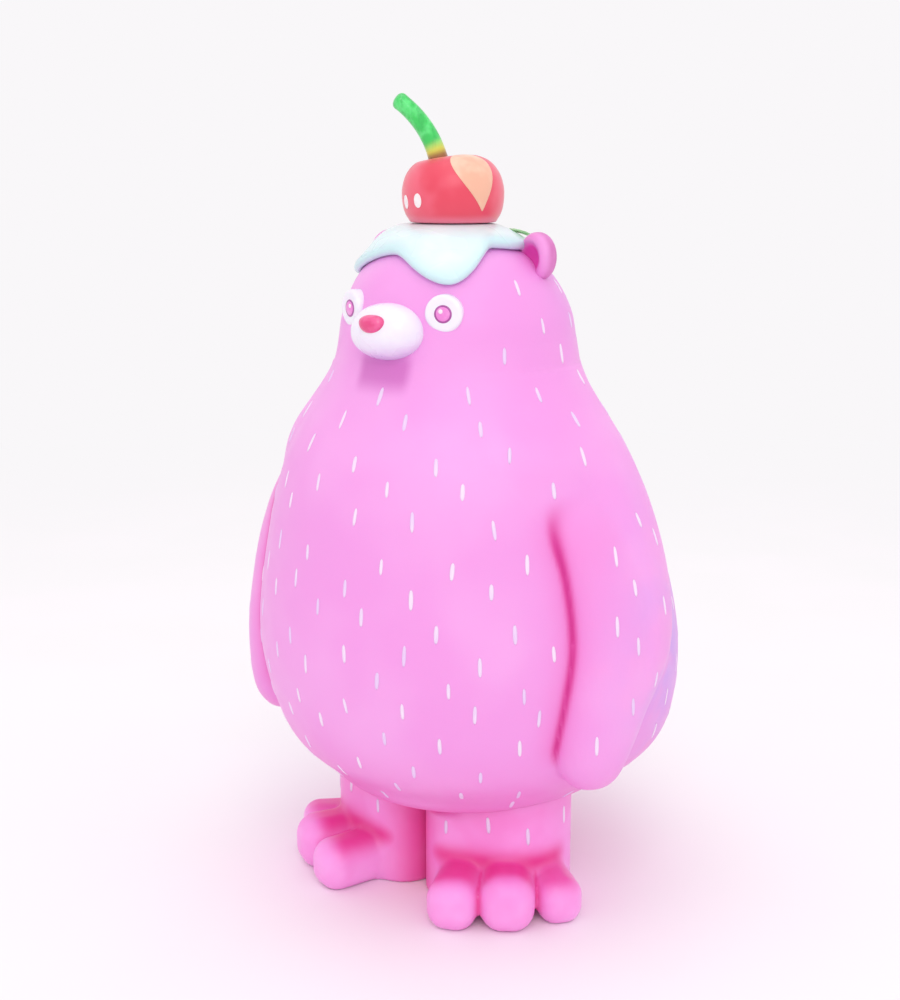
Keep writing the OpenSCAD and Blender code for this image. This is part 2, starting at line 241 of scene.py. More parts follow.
def toe_fields(p):
    """Field of each toe, in the foot's own frame, where -Y is forward."""
    fields = []
    for side, forward, half in TOES:
        front = np.array([side, -forward])
        root = np.array([0.75 * side, -8])
        length = np.linalg.norm(front - root)
        along = (front - root) / length
        rel = p[:, :2] - root
        u = rel @ along - (length + half) / 2
        v = rel @ np.array([-along[1], along[0]])
        q = np.stack([u, v, p[:, 2] - half + 0.5], -1)
        fields.append(round_box(q, [(length + half) / 2, half, half + 0.3], 0.84 * half))
    return fields


def foot_field(p):
    top = pocket_z - 0.4
    ring = np.hypot(p[:, 0], p[:, 1])
    flank = np.stack([ring, p[:, 2] - top / 2], -1)
    column = round_box(flank, [leg_r, top / 2], 1.6)
    calf_top = belly_z - 0.7
    ring = np.hypot(p[:, 0] - CALF[0], p[:, 1] - CALF[1])
    calf = round_box(np.stack([ring, p[:, 2] - calf_top / 2], -1), [CALF[2], calf_top / 2], 1.2)
    inner, middle, outer = toe_fields(p)
    toes = melt(melt(inner, middle, 2.2), outer, 2.2)
    return np.maximum(melt(melt(column, calf, 6), toes, 2.4), 0.02 - p[:, 2])


def ear_field(p):
    """Thick round ear with a hollow in front, running a little way under the head's skin."""
    q = (p - ear_middle) @ about_z(ear_turn)
    ring = np.hypot(q[:, 0], q[:, 2])
    disc = round_box(np.stack([ring, q[:, 1]], -1), [ear_r, 2.6], 2.3)
    hollow_r = np.hypot(q[:, 0] + 0.7, q[:, 2] + 0.6)
    hollow = np.sqrt((hollow_r / 4.2) ** 2 + ((q[:, 1] + 3.0) / 2.2) ** 2) * 2.4 - 2.4
    ear = -melt(-disc, hollow, 0.8)
    return np.maximum(ear, -(torso_field(p) + 0.9))


# ---------------------------------------------------------------- meshes
def surface_net(field, low, high, pitch):
    """Points and quads of the surface where the field is 0, between two corners."""
    axes = [np.arange(a, b + pitch, pitch) for a, b in zip(low, high)]
    grid = np.stack(np.meshgrid(*axes, indexing="ij"), -1)
    size = grid.shape[:3]
    values = field(grid.reshape(-1, 3)).reshape(size)
    inside = values < 0
    corners = [np.array([i, j, k]) for i in (0, 1) for j in (0, 1) for k in (0, 1)]
    count = sum(inside[tuple(slice(c, n - 1 + c) for c, n in zip(corner, size))].astype(int)
                for corner in corners)
    cut = (count > 0) & (count < 8)
    number = np.full(cut.shape, -1)
    number[cut] = np.arange(cut.sum())
    cells = np.argwhere(cut)
    total, hits = np.zeros((len(cells), 3)), np.zeros((len(cells), 1))
    for axis in np.eye(3, dtype=int):
        for corner in corners:
            if corner @ axis:
                continue
            a, b = values[tuple((cells + corner).T)], values[tuple((cells + corner + axis).T)]
            crossed = ((a < 0) != (b < 0))[:, None]
            share = (a / np.where(a == b, 1, a - b))[:, None]
            total += crossed * (corner + share * axis)
            hits += crossed
    points = np.array(low) + (cells + total / hits) * pitch
    faces = []
    for k, axis in enumerate(np.eye(3, dtype=int)):
        u, v = np.roll(axis, 1), np.roll(axis, 2)
        near = tuple(slice(0, n - 1) if e else slice(1, n - 1) for e, n in zip(axis, size))
        far = tuple(slice(1, n) if e else slice(1, n - 1) for e, n in zip(axis, size))
        g = np.argwhere(inside[near] != inside[far]) + (1 - axis)
        ring = [number[tuple((g - s).T)] for s in (u + v, v, 0 * u, u)]
        quads = np.stack(ring, -1)
        solid_behind = inside[tuple(g.T)]
        quads[~solid_behind] = quads[~solid_behind][:, ::-1]
        faces.append(quads)
    return settle(field, points, pitch), np.vstack(faces)


def settle(field, points, reach):
    """Moves points onto the surface where the field is 0, each by at most reach a step."""
    for _ in range(4):
        g = slope(field, points)
        move = (field(points) / np.maximum((g * g).sum(1), 0.1))[:, None] * g
        length = np.linalg.norm(move, axis=1, keepdims=True)
        points = points - move * np.minimum(1, 0.5 * reach / np.maximum(length, 1e-9))
    return points


def skin(low_end, rings, high_end):
    """Points and faces of a closed skin over rings of points, between two end points."""
    rings = np.asarray(rings, float)
    count, m = rings.shape[:2]
    points = np.vstack([[low_end], rings.reshape(-1, 3), [high_end]])
    j = np.arange(m)
    k = (j + 1) % m
    base = 1 + (count - 1) * m
    faces = [(0, 1 + b, 1 + a) for a, b in zip(j, k)]
    for i in range(count - 1):
        ring = 1 + i * m
        faces += [(ring + a, ring + b, ring + m + b, ring + m + a) for a, b in zip(j, k)]
    faces += [(base + m, base + a, base + b) for a, b in zip(j, k)]
    return points, faces


def lathe(outline, sides=64):
    """Skin of an outline of (radius, height) points turned about Z, from low end to high end."""
    outline = np.asarray(outline, float)
    turn = np.linspace(0, 2 * np.pi, sides, endpoint=False)
    rings = [[(r * math.cos(a), r * math.sin(a), z) for a in turn] for r, z in outline[1:-1]]
    return skin((0, 0, outline[0][1]), rings, (0, 0, outline[-1][1]))


def moved(shape, turn=None, shift=(0, 0, 0)):
    points, faces = shape
    turned = points if turn is None else points @ np.array(turn).T
    return turned + np.array(shift), faces


def joined(shapes):
    """One shape from several."""
    points, faces, first = [], [], 0
    for some_points, some_faces in shapes:
        points.append(some_points)
        faces += [tuple(first + i for i in face) for face in some_faces]
        first += len(some_points)
    return np.vstack(points), faces


def mirrored(shape):
    points, faces = shape
    return points * MIRRORED, [tuple(face[::-1]) for face in faces]


def about_z(angle):
    c, s = math.cos(angle), math.sin(angle)
    return np.array([[c, -s, 0], [s, c, 0], [0, 0, 1]])


UPRIGHT = np.array([[1, 0, 0], [0, 0, -1], [0, 1, 0]])  # turns +Z to face -Y


def make(name, shape, material, body, replaces=None, marks=None):
    """A piece from a shape in millimetres; marks holds a number per point for each mask."""
    points, faces = shape
    mesh = bpy.data.meshes.new(name)
    faces = faces.tolist() if isinstance(faces, np.ndarray) else faces
    mesh.from_pydata((np.asarray(points) * 0.001).tolist(), [], faces)
    mesh.polygons.foreach_set("use_smooth", [True] * len(mesh.polygons))
    for mask, values in (marks or {}).items():
        layer = mesh.attributes.new(mask, "FLOAT", "POINT")
        layer.data.foreach_set("value", np.asarray(values, np.float32))
    mesh.materials.append(material)
    mesh.update()
    piece = bpy.data.objects.new(name, mesh)
    bpy.context.scene.collection.objects.link(piece)
    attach(piece, body)
    if replaces:
        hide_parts(replaces)
    return piece


# ---------------------------------------------------------------- materials
def srgb(code):
    """Linear colour from a web colour."""
    parts = [int(code[i:i + 2], 16) / 255 for i in (1, 3, 5)]
    return [c / 12.92 if c <= 0.04045 else ((c + 0.055) / 1.055) ** 2.4 for c in parts] + [1]


class Paint:
    """A node material with a principled shader, built up layer by layer."""

    def __init__(self, name, colour, roughness, **sockets):
        self.material = bpy.data.materials.new(name)
        self.material.use_nodes = True
        self.nodes = self.material.node_tree.nodes
        self.links = self.material.node_tree.links
        self.shader = self.nodes["Principled BSDF"]
        self.coordinates = self.nodes.new("ShaderNodeTexCoord").outputs["Object"]
        for socket, value in sockets.items():
            self.shader.inputs[socket.replace("_", " ")].default_value = value
        self.shader.inputs["Roughness"].default_value = roughness
        self.colour = self.nodes.new("ShaderNodeRGB").outputs[0]
        self.colour.default_value = srgb(colour)

    def noise(self, size, detail=2.0, stretch=(1, 1, 1)):
        """Noise from about 0.3 to 0.7, with features of that size in millimetres."""
        scaled = self.nodes.new("ShaderNodeMapping")
        scaled.inputs["Scale"].default_value = [1000 / size * s for s in stretch]
        self.links.new(self.coordinates, scaled.inputs["Vector"])
        made = self.nodes.new("ShaderNodeTexNoise")
        made.inputs["Scale"].default_value = 1
        made.inputs["Detail"].default_value = detail
        self.links.new(scaled.outputs["Vector"], made.inputs["Vector"])
        return made.outputs["Fac"]

    def mask(self, name):
        made = self.nodes.new("ShaderNodeAttribute")
        made.attribute_name = name
        return made.outputs["Fac"]

    def height(self, low, high):
        """0 at low and 1 at high, two heights in millimetres."""
        split = self.nodes.new("ShaderNodeSeparateXYZ")
        self.links.new(self.coordinates, split.inputs[0])
        return self.spread(split.outputs["Z"], low * 0.001, high * 0.001)

    def spread(self, source, low, high, to_low=0.0, to_high=1.0):
        made = self.nodes.new("ShaderNodeMapRange")
        made.interpolation_type = "SMOOTHSTEP"
        for socket, value in zip(("From Min", "From Max", "To Min", "To Max"),
                                 (low, high, to_low, to_high)):
            made.inputs[socket].default_value = value
        self.links.new(source, made.inputs["Value"])
        return made.outputs["Result"]

    def times(self, a, b):
        made = self.nodes.new("ShaderNodeMath")
        made.operation = "MULTIPLY"
        for socket, value in zip(made.inputs, (a, b)):
            if isinstance(value, (int, float)):
                socket.default_value = value
            else:
                self.links.new(value, socket)
        return made.outputs[0]

    def over(self, colour, amount):
        """Lays a colour over what is there, by an amount from 0 to 1."""
        made = self.nodes.new("ShaderNodeMix")
        made.data_type = "RGBA"
        made.inputs[7].default_value = srgb(colour)
        self.links.new(self.colour, made.inputs[6])
        self.links.new(amount, made.inputs["Factor"])
        self.colour = made.outputs[2]
        return self

    def grain(self, size, height, detail=3.0):
        """Bump of features of that size and height, both in millimetres, with uneven gloss."""
        made = self.nodes.new("ShaderNodeBump")
        made.inputs["Strength"].default_value = 0.6
        made.inputs["Distance"].default_value = height * 0.001
        self.links.new(self.noise(size, detail), made.inputs["Height"])
        self.links.new(made.outputs["Normal"], self.shader.inputs["Normal"])
        rough = self.shader.inputs["Roughness"].default_value
        uneven = self.spread(self.noise(size * 9), 0.3, 0.7, rough - 0.05, rough + 0.05)
        self.links.new(uneven, self.shader.inputs["Roughness"])
        return self

    def done(self):
        self.links.new(self.colour, self.shader.inputs["Base Color"])
        return self.material


def vinyl(name, colour, roughness=0.42, depth=2.5, share=0.12, **sockets):
    """Soft vinyl that lets light a little way in."""
    return Paint(name, colour, roughness, Subsurface_Weight=share,
                 Subsurface_Radius=(1.0, 0.45, 0.75), Subsurface_Scale=depth * 0.001, **sockets)


def skin_paint():
    p = vinyl("pink_vinyl", "#f09be3")
    p.over("#f6afec", p.spread(p.noise(38), 0.4, 0.66, 0, 0.5))
    # Painted shade: darker towards the belly's underside.
    p.over("#ec86cf", p.times(p.spread(p.height(66, 26), 0, 1), 0.75))
    # Painted shade on the sides and back of the head.
    p.over("#e08ce0", p.times(p.mask("mauve_shade"), p.spread(p.noise(26), 0.3, 0.6, 0.6, 1)))
    # Painted shade: a lilac patch on each flank behind the arm.
    p.over("#c9a0ee", p.times(p.mask("lilac_shade"), p.spread(p.noise(17), 0.35, 0.62)))
    # Painted shade in the creases round the arms and under the belly.
    p.over("#ee3aaa", p.mask("crease"))
    # Painted shade: a deeper line along the arm's front crease.
    p.over("#c81483", p.mask("crease_core_shade"))
    # Painted shadow under the muzzle.
    p.over("#cc62bb", p.mask("chin_shadow"))
    return p.grain(0.9, 0.035).done()


def leg_paint():
    p = vinyl("pink_vinyl_legs", "#fb9ce6")
    p.over("#fda9ec", p.height(15, 5))
    p.over("#f57bcf", p.times(p.spread(p.noise(14), 0.35, 0.65), 0.4))
    # Painted shade between and above the toes, on the leg's inner side and at its top.
    p.over("#e8148a", p.mask("crease"))
    return p.grain(0.9, 0.035).done()


def ear_paint():
    p = vinyl("pink_vinyl_ears", "#ee9ade")
    # Painted shade on the ear's back and round the rim of its hollow.
    p.over("#cf6fb4", p.times(p.mask("mauve_shade"), p.spread(p.noise(5), 0.3, 0.6, 0.7, 1)))
    p.over("#e64fb6", p.mask("crease"))
    return p.grain(0.9, 0.03).done()


def fur_paint():
    p = vinyl("fur_mark_paint", "#fae2fb", 0.35)
    p.over("#efcdf8", p.spread(p.noise(21), 0.42, 0.62))
    return p.grain(0.7, 0.02).done()


def white_paint():
    p = vinyl("white_vinyl_paint", "#f4effa", 0.32, Coat_Weight=0.3, Coat_Roughness=0.25)
    p.over("#dcc8ef", p.mask("shade"))
    p.over("#efe6f8", p.times(p.spread(p.noise(6), 0.4, 0.65), 0.5))
    return p.grain(0.8, 0.02).done()


def gloss(name, colour, tint, size, roughness=0.2, coat=0.5):
    p = vinyl(name, colour, roughness, Coat_Weight=coat, Coat_Roughness=0.3)
    p.over(tint, p.spread(p.noise(size), 0.4, 0.68))
    return p


def icing_paint():
    p = gloss("icing_paint", "#dcf1f4", "#e8f8fa", 14, 0.28, 0.3)
    p.over("#cbe8ec", p.mask("shade"))
    return p.grain(2.4, 0.05, 1.5).done()


def cherry_paint():
    p = gloss("cherry_paint", "#e7425c", "#ef5f78", 11, 0.34, 0.3)
    # Painted glow: the cherry's foot lighter and pinker where it sits on the icing.
    p.over("#f58aa4", p.mask("base"))
    # Painted shade in the hollow round the stem.
    p.over("#c92844", p.mask("pit"))
    return p.grain(1.1, 0.02).done()


def stem_paint():
    p = gloss("stem_paint", "#2fcf58", "#5be67c", 3.2, 0.2, 0.6)
    fibres = p.spread(p.noise(1.3, 2, (1, 1, 0.16)), 0.45, 0.62, 0, 0.35)
    p.over("#17a548", fibres)
    p.over("#2a9a4c", p.mask("tip"))
    p.over("#e9e24a", p.mask("glow"))
    p.over("#8c1c22", p.mask("root"))
    return p.grain(0.8, 0.05).done()


def leaf_paint():
    p = gloss("leaf_paint", "#a6e69a", "#c0f2b2", 4, 0.32, 0.2)
    p.over("#6fc96a", p.mask("vein"))
    return p.grain(0.6, 0.05).done()


def floor_paint():
    """White studio floor that turns into the backdrop's own white far from the figure."""
    p = Paint("floor_paint", "#f8f6f7", 0.6)
    p.over("#faf7f9", p.spread(p.noise(90), 0.35, 0.65))
    p.done()
    far = p.nodes.new("ShaderNodeVectorMath")
    far.operation = "LENGTH"
    p.links.new(p.coordinates, far.inputs[0])
    glow = p.nodes.new("ShaderNodeEmission")
    glow.inputs["Color"].default_value = srgb(BACKDROP)
    mixed = p.nodes.new("ShaderNodeMixShader")
    p.links.new(p.spread(far.outputs["Value"], 0.22, 0.75), mixed.inputs["Fac"])
    p.links.new(p.shader.outputs[0], mixed.inputs[1])
    p.links.new(glow.outputs[0], mixed.inputs[2])
    p.links.new(mixed.outputs[0], p.nodes["Material Output"].inputs["Surface"])
    return p.material


# ---------------------------------------------------------------- stage
BACKDROP = "#f9f7f9"


def soft_light(name, place, size, power, colour=(1, 1, 1)):
    lamp = bpy.data.lights.new(name, "AREA")
    lamp.shape, lamp.size, lamp.energy, lamp.color = "DISK", size, power, colour
    holder = bpy.data.objects.new(name, lamp)
    holder.location = place
    aim = Vector((0, 0, 0.09)) - Vector(place)
    holder.rotation_euler = aim.to_track_quat("-Z", "Y").to_euler()
    bpy.context.scene.collection.objects.link(holder)


def set_stage():
    lens = bpy.data.cameras.new("camera")
    lens.sensor_fit, lens.sensor_height, lens.sensor_width, lens.lens = "VERTICAL", 36, 36, 51.6
    camera = bpy.data.objects.new("camera", lens)
    camera.location = (0.2240, -0.3302, 0.1989)
    camera.rotation_euler = [math.radians(a) for a in (77.3, 0, 34.97)]
    bpy.context.scene.collection.objects.link(camera)
    bpy.context.scene.camera = camera

    world = bpy.data.worlds.new("studio")
    world.use_nodes = True
    world.node_tree.nodes["Background"].inputs["Color"].default_value = srgb(BACKDROP)
    world.node_tree.nodes["Background"].inputs["Strength"].default_value = 1.0
    bpy.context.scene.world = world
    bpy.context.scene.view_settings.view_transform = "Standard"

    soft_light("key", (0.5, -0.65, 0.8), 0.55, 1.75, (1, 0.985, 0.99))
    soft_light("top", (0.05, -0.1, 1.1), 0.7, 1.1)

    sides = 96
    rim = [(4 * math.cos(a), 4 * math.sin(a), 0)
           for a in np.linspace(0, 2 * np.pi, sides, endpoint=False)]
    mesh = bpy.data.meshes.new("floor")
    mesh.from_pydata(rim, [], [list(range(sides))])
    mesh.materials.append(floor_paint())
    floor = bpy.data.objects.new("floor", mesh)
    bpy.context.scene.collection.objects.link(floor)


# ---------------------------------------------------------------- body
def body_masks(p):
    """Where painted shade lies on the body: in the creases round the arms and under the belly,
    darkest along the arm's front crease, as a shadow under the muzzle, on the sides and back of the
    head, and in a lilac patch behind each arm.
    """
    arm, back = arm_field(p)
    torso = torso_field(p)
    bearing = np.degrees(np.arctan2(np.abs(p[:, 0]), -p[:, 1]))
    # The creases get painted shade: along the arm's front edge, low behind it, and under the belly.
    seam = 0.72 * hump(torso - arm, 0, 1.3) + 0.28 * hump(torso - arm, 0, 5)
    in_front = 1 - step(-4, 3, back)
    long = step(48, 56, p[:, 2]) * (1 - step(106, 122, p[:, 2]))
    crease = seam * in_front * long
    crease += 0.5 * hump(torso - arm, 0, 2.5) * (1 - in_front) * (1 - step(60, 84, p[:, 2]))
    bottom = 1 - step(27, 34, p[:, 2])
    crease = np.maximum(crease, 0.6 * bottom)
    # Painted shade on the sides and back of the head.
    mauve_shade = 0.5 * step(60, 110, bearing) * step(150, 165, p[:, 2])
    # Painted shade: a lilac patch on each flank behind the arm.
    lilac_shade = 0.8 * hump(bearing, 99, 22) * hump(p[:, 2], 78, 30)
    # Painted shadow under the muzzle.
    chin_shadow = (1 - step(6, 9.5, np.abs(p[:, 0]))) * step(143.5, 149, p[:, 2])
    chin_shadow = chin_shadow * (1 - step(152, 156, p[:, 2])) * (p[:, 1] < 0)
    # Painted shade: a deeper line in the arm's front crease.
    crease_core_shade = 0.8 * hump(torso - arm, 0, 1.1) * in_front * long
    return {"crease": np.clip(crease, 0, 1), "lilac_shade": lilac_shade, "chin_shadow": 0.75 * chin_shadow,
            "crease_core_shade": crease_core_shade, "mauve_shade": mauve_shade}


def make_body():
    lo, hi = box_mm("body_shell")
    margin = 3 * BODY_PITCH
    shape = surface_net(body_field, lo - margin, hi + margin, BODY_PITCH)
    make("bear_body", shape, skin_paint(), "torso", "body_shell",
         body_masks(shape[0]))


# ---------------------------------------------------------------- legs
def leg_masks(p):
    inner, middle, outer = toe_fields(p)
    gaps = hump(np.minimum(np.abs(inner - middle), np.abs(middle - outer)), 0, 1.5)
    gaps = gaps * (1 - step(12, 15.5, p[:, 2]))
    ahead = step(12, 19, -p[:, 1])
    above = hump(p[:, 2], 14.2, 3.2) * step(7, 13, -p[:, 1]) * (1 - step(23, 30, -p[:, 1]))
    inside = 0.62 * step(9, 19, -p[:, 0]) * (1 - step(4, 16, -p[:, 1]))
    top = 0.12 * step(21, 29, p[:, 2])
    # Painted shade between and above the toes, on the leg's inner side and at its top under the
    # belly.
    strongest = np.maximum.reduce([0.8 * gaps * ahead, 0.85 * above, inside, top])
    return {"crease": np.clip(strongest, 0, 1)}


def make_legs():
    low, high = np.array([-24, -37, 0]) - LEG_PITCH * 2, np.array([24, 20, 34]) + LEG_PITCH * 2
    shape = surface_net(foot_field, low, high, LEG_PITCH)
    masks = leg_masks(shape[0])
    left = moved(shape, about_z(splay), (leg_axis[0], leg_axis[1], 0))
    paint = leg_paint()
    make("bear_left_leg", left, paint, "left_leg", "left_leg", masks)
    make("bear_right_leg", mirrored(left), paint, "right_leg", "right_leg", masks)


# ---------------------------------------------------------------- fur marks
MARK_LIFT = 0.16  # how far a mark stands up from the skin
MARK_STEP = 13.0  # spacing of the marks


def unit(v):
    return v / np.linalg.norm(v, axis=-1, keepdims=True)


def first_hit(field, start, way, reach=140):
    """Where rays meet the surface of a field, or nan."""
    travelled = np.zeros(len(start))
    for _ in range(60):
        travelled += 0.8 * field(start + travelled[:, None] * way)
    place = start + travelled[:, None] * way
    lost = (np.abs(field(place)) > 0.1) | (travelled > reach)
    place[lost] = np.nan
    return place


def strokes(field, places, ways, length, width):
    """Short raised brush marks lying on a field's surface: each a slim lens with round ends."""
    turn = np.linspace(0, 2 * np.pi, 10, endpoint=False)
    along = np.linspace(-1, 1, 11)[1:-1]
    taper = (1 - np.abs(along) ** 2.6) ** 0.5
    out = unit(slope(field, places))
    ways = unit(ways - (ways * out).sum(1, keepdims=True) * out)
    sides = np.cross(out, ways)
    shapes = []
    for place, way, side, long, wide in zip(places, ways, sides, length, width):
        s = np.concatenate([[-1], np.repeat(along, len(turn)), [1]])
        v = np.concatenate([[0], (taper[:, None] * np.cos(turn)).ravel(), [0]])
        lift = np.concatenate([[0], (taper[:, None] * np.sin(turn)).ravel(), [0]])
        points = place + np.outer(s * long, way) + np.outer(v * wide, side)
        faces = skin(points[0], points[1:-1].reshape(len(along), len(turn), 3), points[-1])[1]
        shapes.append((np.hstack([points, lift[:, None]]), faces))
    points, faces = joined(shapes)
    on_skin = settle(field, points[:, :3], 1.0)
    return on_skin + unit(slope(field, on_skin)) * points[:, 3:] * MARK_LIFT, faces


def body_mark_places():
    """Staggered rows of places round the body, with a little scatter, clear of face and creases."""
    starts, ways = [], []
    for row, z in enumerate(np.arange(33, 176, 0.62 * MARK_STEP)):
        radius = np.interp(z, torso_line[:, 1], torso_line[:, 0])
        count = max(int(round(2 * np.pi * radius / (1.45 * MARK_STEP))), 5)
        for k in range(count):
            turn = 2 * np.pi * (k + 0.5 * (row % 2) + rng.uniform(-0.16, 0.16)) / count
            out = np.array([math.sin(turn), -math.cos(turn), 0])
            starts.append(100 * out + [0, 0, z + rng.uniform(-2, 2)])
            ways.append(-out)
    starts, ways = np.array(starts), np.array(ways)
    places = first_hit(body_field, starts, ways)
    found = ~np.isnan(places[:, 0])
    places, ways = places[found], ways[found]
    facing = -(unit(slope(body_field, places)) * ways).sum(1)
    arm, _ = arm_field(places)
    clear_of_crease = np.abs(torso_field(places) - arm) > 4.5
    clear = (facing > 0.45) & (clear_of_crease | (places[:, 2] > 122)) & (places[:, 2] > 33)
    for middle, room in ((eye_middle, 9), (eye_middle * MIRRORED, 9), (muzzle_middle, 14.5),
                         (ear_middle, 10), (ear_middle * MIRRORED, 10)):
        clear &= np.linalg.norm(places - middle, axis=1) > room
    turns = np.degrees(np.arctan2(places[:, 0], -(places[:, 1] - head_y)))
    rim_z = np.array([icing_edge(a)[2] for a in turns])
    clear &= places[:, 2] < rim_z - 4
    return places[clear]


def make_marks(name, field, places, body, paint, shift=None):
    ways = np.tile([0.0, 0.0, -1.0], (len(places), 1)) + rng.normal(0, 0.05, (len(places), 3))
    length = rng.uniform(2.1, 2.9, len(places))
    width = rng.uniform(0.46, 0.6, len(places))
    shape = strokes(field, places, ways, length, width)
    if shift is not None:
        shape = moved(shape, *shift)
    make(name, shape, paint, body)
    return shape


def leg_mark_places():
    starts, ways = [], []
    for k, turn in enumerate(np.radians([-52, -17, 18, 60, 110, 160, 215, 265])):
        out = np.array([math.sin(turn), -math.cos(turn), 0])
        starts.append(45 * out + [0, 0, 22.5 + 2.2 * (k % 2) + rng.uniform(-0.8, 0.8)])
        ways.append(-out)
    return first_hit(foot_field, np.array(starts), np.array(ways))


def make_fur():
    paint = fur_paint()
    make_marks("fur_marks", body_field, body_mark_places(), "torso", paint)
    shift = (about_z(splay), (leg_axis[0], leg_axis[1], 0))
    shape = make_marks("left_leg_marks", foot_field, leg_mark_places(), "left_leg", paint, shift)
    make("right_leg_marks", mirrored(shape), paint, "right_leg")


# ---------------------------------------------------------------- icing
ICING_LOW = 0.2
ICING_THICK = land_z - TORSO[-1][1] - ICING_LOW
HEAD = TORSO[::-1]
MOUND = 0.9
MOUND_END = 1.6  # body stations down the head
# Ends of the lobes and of the notches between them: bearing, and body stations down the head
RIM = np.array([[-75, 2.2], [-12, 1.48], [31, 2.25], [68, 1.22], [98, 1.32], [132, 1.95],
                [164, 1.4], [207, 2.15], [247, 1.4], [285, 2.2]])


def head_point(u, d):
    """Point u body stations down from the top of the head and d outside it: radius, height, y."""
    def at(u):
        i = np.clip(np.floor(u).astype(int), 0, len(HEAD) - 3)
        padded = np.vstack([HEAD[1] * MIRRORED, HEAD])
        t = (u - i)[..., None]
        return between(padded[i], padded[i + 1], padded[i + 2], padded[i + 3], t)
    u = np.asarray(u, float)
    p, q = at(u), at(u + 0.01)
    run = (q - p)[..., :2]
    run /= np.linalg.norm(run, axis=-1, keepdims=True)
    return np.stack([p[..., 0] - d * run[..., 1], p[..., 1] + d * run[..., 0], p[..., 2]], -1)


def icing_rim(degrees):
    """How many body stations down the icing reaches at a bearing."""
    a = (np.asarray(degrees) + 75) % 360 - 75
    i = np.clip(np.searchsorted(RIM[:, 0], a, side="right") - 1, 0, len(RIM) - 2)
    t = (a - RIM[i, 0]) / (RIM[i + 1, 0] - RIM[i, 0])
    return RIM[i, 1] + (RIM[i + 1, 1] - RIM[i, 1]) * t * t * (3 - 2 * t)


def icing_depth(u):
    """The icing is thickest in the middle, where it makes a mound under the cherry."""
    return ICING_THICK * (1 + MOUND * np.maximum(0, 1 - (u / MOUND_END) ** 2))


def icing_swell(degrees, u):
    """A fuller lobe over the right ear's root."""
    a = (degrees + 260) % 360 - 180
    return 1.5 * hump(a, 0, 38) * hump(u, 1.25, 0.6)


def icing_edge(degrees):
    r, z, y = head_point(icing_rim(degrees), ICING_LOW + ICING_THICK)
    return np.array([r, y, z])


def make_icing():
    """Sheet of icing over the head, with a rolled rim that hangs in lobes."""
    turns = np.linspace(0, 360, 288, endpoint=False)
    rim = icing_rim(turns)
    high = ICING_LOW + icing_depth(rim)
    half = (high - ICING_LOW) / 2 + 0.12
    middle = (high + ICING_LOW) / 2 + 0.12
    unit_length = np.linalg.norm(head_point(rim + 0.05, 0) - head_point(rim - 0.05, 0), axis=1) * 10
    rows = []
    for share in np.linspace(0, 1, 9)[1:-1]:
        rows.append((share * rim, np.full_like(rim, ICING_LOW)))
    for angle in np.linspace(-90, 90, 13):
        a = math.radians(angle)
        rows.append((rim + half * math.cos(a) / unit_length, middle + half * math.sin(a)))
    for share in 1 - np.linspace(0, 1, 33)[1:-1] ** 1.3:
        lip = 0.24 * math.exp(-((1 - share) / 0.1) ** 2)
        swell = icing_swell(turns, share * rim)
        rows.append((share * rim, ICING_LOW + icing_depth(share * rim) + lip + swell))
    rings, shade = [], []
    for u, d in rows:
        r, z, y = np.moveaxis(head_point(u, d), -1, 0)
        over = np.maximum(z - land_z + 0.35, 0)
        z = np.where(z > land_z - 0.35, land_z - 0.35 + 0.35 * np.tanh(over / 0.35), z)
        a = np.radians(turns)
        rings.append(np.stack([r * np.sin(a), y - r * np.cos(a), z], -1))
        shade.append(step(0.8, 1.05, u / rim))
    under, top = [0, head_y, TORSO[-1][1] + ICING_LOW], [0, head_y, land_z]
    shape = skin(under, rings, top)
    masks = {"shade": np.concatenate([[0], np.ravel(shade), [0]])}
    make("icing", shape, icing_paint(), "torso", "icing_cap", masks)


# ---------------------------------------------------------------- cherry
STEM_BASE = np.array([-3.0, -2.1])
STEM_R = 2.6
STEM_WAY = math.radians(215)  # the way the stem leans, from the cherry's +X
STEM_REACH = 10.4
PATCH_LIFT = 0.12
CHERRY_OUTLINE = np.array([
    [0, 0], [cherry_r - 3.4, 0], [cherry_r - 1.7, 1.0], [cherry_r - 0.5, 3.4], [cherry_r, 6.8],
    [cherry_r - 0.2, 9.8], [cherry_r - 1.3, 13], [cherry_r - 3.6, 15.9], [cherry_r - 6.8, 17.5],
    [cherry_r - 10, 17.9], [0, 17.4]])


def cherry_line():
    ends = CHERRY_OUTLINE * [-1, 1]
    return smooth(CHERRY_OUTLINE[1:], CHERRY_OUTLINE[0], ends[-2], 8)


CHERRY_LINE = np.vstack([[0, 0], cherry_line()])


def dented(p):
    """Lets the cherry's top down into a hollow round the stem, with a hump behind it."""
    p = p.copy()
    away = np.linalg.norm(p[..., :2] - STEM_BASE, axis=-1)
    upper = step(9, 16, p[..., 2])
    p[..., 2] -= upper * (2.4 * np.exp(-(away / 3.9) ** 2) + 0.5 * np.exp(-(away / 9) ** 2))
    return p


def cherry_point(degrees, share):
    """Point of the cherry's skin at a bearing, by the share of the way from its foot to its top."""
    length = np.concatenate([[0], np.cumsum(np.linalg.norm(np.diff(CHERRY_LINE, axis=0), axis=1))])
    at = np.asarray(share) * length[-1]
    r, z = [np.interp(at, length, CHERRY_LINE[:, k]) for k in (0, 1)]
    a = np.radians(degrees)
    return dented(np.stack([r * np.sin(a), -r * np.cos(a), z], -1))


